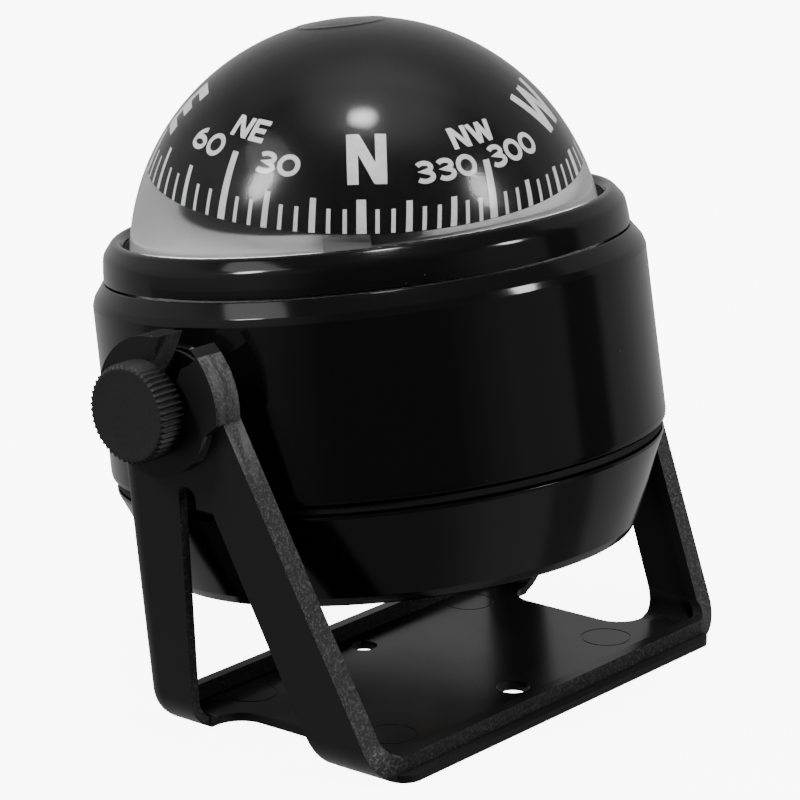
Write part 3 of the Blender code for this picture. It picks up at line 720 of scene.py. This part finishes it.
GLYPHS = {
    "N": (0.80, [[(0.10, 0.0), (0.10, 1.0)], [(0.13, 0.98), (0.67, 0.02)], [(0.70, 0.0), (0.70, 1.0)]]),
    "E": (0.66, [[(0.10, 0.0), (0.10, 1.0)], [(0.05, 0.92), (0.66, 0.92)], [(0.05, 0.5), (0.6, 0.5)], [(0.05, 0.08), (0.66, 0.08)]]),
    "W": (1.12, [[(0.08, 1.0), (0.32, 0.0)], [(0.32, 0.0), (0.56, 0.95)], [(0.56, 0.95), (0.80, 0.0)], [(0.80, 0.0), (1.04, 1.0)]]),
    "S": (0.70, [ring_pts(0.36, 0.715, 0.25, 0.205, 35, 270, 14) + ring_pts(0.36, 0.285, 0.26, 0.225, 90, -145, 14)[1:]]),
    "0": (0.86, [ring_pts(0.43, 0.5, 0.33, 0.41, 0, 360, 32)]),
    "3": (0.80, [ring_pts(0.38, 0.715, 0.27, 0.20, 150, -90, 16) + ring_pts(0.38, 0.285, 0.30, 0.215, 90, -150, 16)[1:]]),
    "6": (0.84, [ring_pts(0.42, 0.32, 0.31, 0.235, 0, 360, 28), ring_pts(0.62, 0.36, 0.51, 0.56, 178, 105, 12)]),
    "1": (0.45, [[(0.27, 0.0), (0.27, 1.0)], [(0.06, 0.76), (0.27, 0.94)]]),
    "2": (0.78, [ring_pts(0.38, 0.69, 0.28, 0.225, 160, -35, 14) + [(0.10, 0.09), (0.72, 0.09)]]),
    "4": (0.84, [[(0.58, 0.0), (0.58, 0.98)], [(0.58, 0.94), (0.08, 0.30), (0.80, 0.30)]]),
    "5": (0.78, [[(0.68, 0.91), (0.18, 0.91), (0.13, 0.50)] + ring_pts(0.39, 0.33, 0.29, 0.25, 140, -150, 16)]),
}


def stroke_shape(points, width, closed):
    """One stroke as left and right edge points, mitred at its corners."""
    p = np.array(points, float)
    n = len(p)
    left, right_ = [], []
    for k in range(n):
        a = p[k - 1] if (k > 0 or closed) else None
        b = p[(k + 1) % n] if (k < n - 1 or closed) else None
        d1 = (p[k] - a) / np.linalg.norm(p[k] - a) if a is not None else None
        d2 = (b - p[k]) / np.linalg.norm(b - p[k]) if b is not None else None
        d1 = d2 if d1 is None else d1
        d2 = d1 if d2 is None else d2
        m = d1 + d2
        m = m / np.linalg.norm(m)
        nrm = np.array([-m[1], m[0]])
        scale = 1.0 / max(0.35, nrm @ np.array([-d1[1], d1[0]]))
        left.append(p[k] + nrm * width / 2 * scale)
        right_.append(p[k] - nrm * width / 2 * scale)
    return left, right_


def write(bm, text, lon0, lat0, height, weight, squeeze=1.0, gap=0.12):
    """Writes text on the card, centred at lon0 (degrees) with its middle at lat0. height is in mm."""
    widths = [GLYPHS[c][0] * squeeze for c in text]
    total = sum(widths) + gap * (len(text) - 1)
    x = -total / 2
    count = 0
    for c, w in zip(text, widths):
        a, b = radians(lon0 + degrees((x + w / 2) * height / (CR * cos(radians(lat0))))), radians(lat0)
        middle = Vector((cos(b) * cos(a), cos(b) * sin(a), sin(b)))
        across = Vector((-sin(a), cos(a), 0))
        upward = Vector((-sin(b) * cos(a), -sin(b) * sin(a), cos(b)))
        for line in GLYPHS[c][1]:
            line = [(x + px * squeeze, py - 0.5) for px, py in line]
            closed = hypot(line[0][0] - line[-1][0], line[0][1] - line[-1][1]) < 1e-6
            if closed:
                line = line[:-1]
            if len(line) == 2:
                a, b = np.array(line[0]), np.array(line[1])
                m = max(2, int(np.linalg.norm(b - a) * height / 0.5))
                line = [tuple(a + (b - a) * k / m) for k in range(m + 1)]
            left, right_ = stroke_shape(line, weight, closed)
            if c in "NW":
                # flat tops and feet
                for side in (left, right_):
                    for k in range(len(side)):
                        side[k] = np.array([side[k][0], min(0.5, max(-0.5, side[k][1]))])
            lift = 0.002 * count
            count += 1

            def put(q, h):
                gx, gy = float((q[0] - x - w / 2) * height / CR), float(q[1] * height / CR)
                v = middle + across * gx + upward * gy
                return bm.verts.new(v.normalized() * (CR + h))

            cols = []
            for a, b in zip(left, right_):
                mids = [a + (b - a) * t for t in (0, 0.33, 0.67, 1)]
                cols.append([put(mids[0], INK_LOW)] + [put(q, INK_TOP + lift) for q in mids] + [put(mids[-1], INK_LOW)])
            last = len(cols) if closed else len(cols) - 1
            for k in range(last):
                p, q = cols[k], cols[(k + 1) % len(cols)]
                for i in range(5):
                    bm.faces.new((p[i], q[i], q[i + 1], p[i + 1]))
            if not closed:
                for end in (cols[0], cols[-1]):
                    bm.faces.new(end)
        x += w + gap


marks = bmesh.new()
for text, lon, lat, height, weight, squeeze, gap in (
    ("N", 1.7, 42.6, 6.75, 0.205, 0.87, 0.1), ("E", -86.6, 42.8, 7.0, 0.22, 1.0, 0.1), ("W", 81.0, 43.6, 7.2, 0.2, 1.08, 0.1), ("S", 179.0, 42.6, 6.8, 0.21, 1.0, 0.1),
    ("30", -26.2, 40.0, 2.8, 0.225, 1.3, 0.02), ("330", 25.9, 38.2, 2.8, 0.225, 1.2, 0.03), ("60", -56.3, 40.9, 3.0, 0.22, 1.26, 0.02), ("300", 51.8, 38.5, 2.9, 0.225, 1.2, 0.03),
    ("120", -124.0, 39.5, 2.9, 0.2, 1.2, 0.03), ("150", -153.0, 39.5, 2.9, 0.2, 1.2, 0.03), ("210", 153.0, 39.0, 2.9, 0.2, 1.2, 0.03), ("240", 124.0, 39.0, 2.9, 0.2, 1.2, 0.03),
    ("NE", -41.8, 47.3, 3.0, 0.225, 1.14, 0.1), ("NW", 39.4, 45.3, 3.0, 0.225, 1.08, 0.1), ("SE", -138.0, 46.8, 3.0, 0.2, 1.1, 0.1), ("SW", 138.0, 46.0, 3.0, 0.2, 1.08, 0.1),
):
    write(marks, text, lon, lat, height, weight, squeeze, gap)
piece("card_letters", marks, INK, "card", (), CARD_AT)

# ------------------------------------------------------------------ carried-over nodes
for node, mat in {
    "card_hub": WHITE, "card_magnet_a": MAGNET, "card_magnet_b": MAGNET, "compensator_magnet_ew": MAGNET, "compensator_magnet_ns": MAGNET,
    "compensator_screw_ew": BRASS, "compensator_screw_ns": BRASS, "diaphragm_retainer": KNOB, "expansion_diaphragm": RUBBER, "filler_plug": BRASS,
    "friction_washer_left": RUBBER, "friction_washer_right": RUBBER, "jewel_cup": JEWEL, "pivot_insert_left": BRASS, "pivot_insert_right": BRASS,
    "pivot_pin": STEEL, "pivot_post": BRASS, "stud_left": STEEL, "stud_right": STEEL,
}.items():
    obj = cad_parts[node]
    obj.data.materials.clear()
    obj.data.materials.append(mat)

# ------------------------------------------------------------------ stage
floor_bm = bmesh.new()
bmesh.ops.create_circle(floor_bm, cap_ends=True, segments=96, radius=6000.0)
FLOOR_MAT = pale("floor_look", (0.86, 0.86, 0.86), (0.9, 0.9, 0.9), 0.6, 6.0)
floor = make("floor", floor_bm, FLOOR_MAT, Matrix.Translation((0, 0, -0.0002)), smooth=False)
floor.visible_glossy = False
floor.visible_diffuse = False
FLOOR_MAT.node_tree.nodes["Principled BSDF"].inputs["Emission Color"].default_value = (1, 1, 1, 1)
FLOOR_MAT.node_tree.nodes["Principled BSDF"].inputs["Emission Strength"].default_value = 8.0


def softbox(name, azimuth, elevation, distance, size, power, ratio=1.0):
    a, e = radians(azimuth), radians(elevation)
    away = Vector((sin(a) * cos(e), -cos(a) * cos(e), sin(e)))
    data = bpy.data.lights.new(name, "AREA")
    data.shape, data.size, data.size_y, data.energy = "ELLIPSE", size, size * ratio, power
    light = bpy.data.objects.new(name, data)
    bpy.context.scene.collection.objects.link(light)
    light.location = Vector((0, 0, 0.05)) + away * distance
    light.rotation_euler = away.to_track_quat("Z", "Y").to_euler()
    light.visible_camera = False
    return light


softbox("light_top", -59.3, 80.7, 0.75, 0.11, 1.5)
softbox("light_left", -115.4, 37.0, 0.80, 0.14, 2.6, 1.5)
softbox("light_right", 18.2, 32.5, 0.80, 0.14, 2.1, 1.5)
softbox("light_left_wide", -122.0, 47.0, 0.80, 0.42, 0.45, 0.5)
fill = softbox("light_fill", 60.0, 85.0, 1.6, 1.6, 26.0)
fill.visible_glossy = False

world = bpy.data.worlds.new("studio")
bpy.context.scene.world = world
world.use_nodes = True
tree = world.node_tree
tree.nodes.clear()
add = tree.nodes.new
out = add("ShaderNodeOutputWorld")
coord = add("ShaderNodeTexCoord")
parts = add("ShaderNodeSeparateXYZ")
tree.links.new(coord.outputs["Generated"], parts.inputs[0])


def calc(op, a, b=None):
    n = add("ShaderNodeMath")
    n.operation = op
    for k, v in enumerate((a, b)):
        if isinstance(v, (int, float)):
            n.inputs[k].default_value = v
        elif v is not None:
            tree.links.new(v, n.inputs[k])
    return n.outputs[0]


def step(value, start, end, low=0.0, high=1.0):
    n = add("ShaderNodeMapRange")
    n.interpolation_type = "SMOOTHSTEP"
    for key, v in (("From Min", start), ("From Max", end), ("To Min", low), ("To Max", high)):
        n.inputs[key].default_value = v
    tree.links.new(value, n.inputs["Value"])
    return n.outputs["Result"]


dot = add("ShaderNodeVectorMath")
dot.operation = "DOT_PRODUCT"
dot.inputs[1].default_value = -Vector((sin(AZ), -cos(AZ), 0))
tree.links.new(coord.outputs["Generated"], dot.inputs[0])
behind = dot.outputs["Value"]
azimuth = calc("MULTIPLY", calc("ARCTAN2", parts.outputs["X"], calc("MULTIPLY", parts.outputs["Y"], -1.0)), 180 / pi)
height = parts.outputs["Z"]
backdrop = calc("ADD", step(behind, 0.19, 0.31, 0.0, 0.30), step(behind, 0.35, 1.0, 0.0, 0.24))
left = calc("MULTIPLY", calc("MULTIPLY", step(azimuth, -66.0, -104.0), step(height, -0.25, 0.1, 0.3, 1.0)), calc("MULTIPLY", step(height, 0.75, 0.5), 0.42))
low_right = calc("MULTIPLY", calc("MULTIPLY", step(azimuth, -26.0, 10.0), step(azimuth, 36.0, 31.0)), calc("MULTIPLY", step(height, 0.6, 0.3), 0.24))
studio_light = calc("ADD", calc("ADD", calc("MAXIMUM", backdrop, left), low_right), calc("ADD", step(height, -0.35, -0.72, 0.0, 0.17), 0.065))
seen = add("ShaderNodeBackground")
seen.inputs["Color"].default_value = (1.0, 1.0, 1.0, 1)
seen.inputs["Strength"].default_value = 10.0
studio = add("ShaderNodeBackground")
tree.links.new(studio_light, studio.inputs["Strength"])
path = add("ShaderNodeLightPath")
mix = add("ShaderNodeMixShader")
tree.links.new(path.outputs["Is Camera Ray"], mix.inputs[0])
tree.links.new(studio.outputs[0], mix.inputs[1])
tree.links.new(seen.outputs[0], mix.inputs[2])
tree.links.new(mix.outputs[0], out.inputs["Surface"])
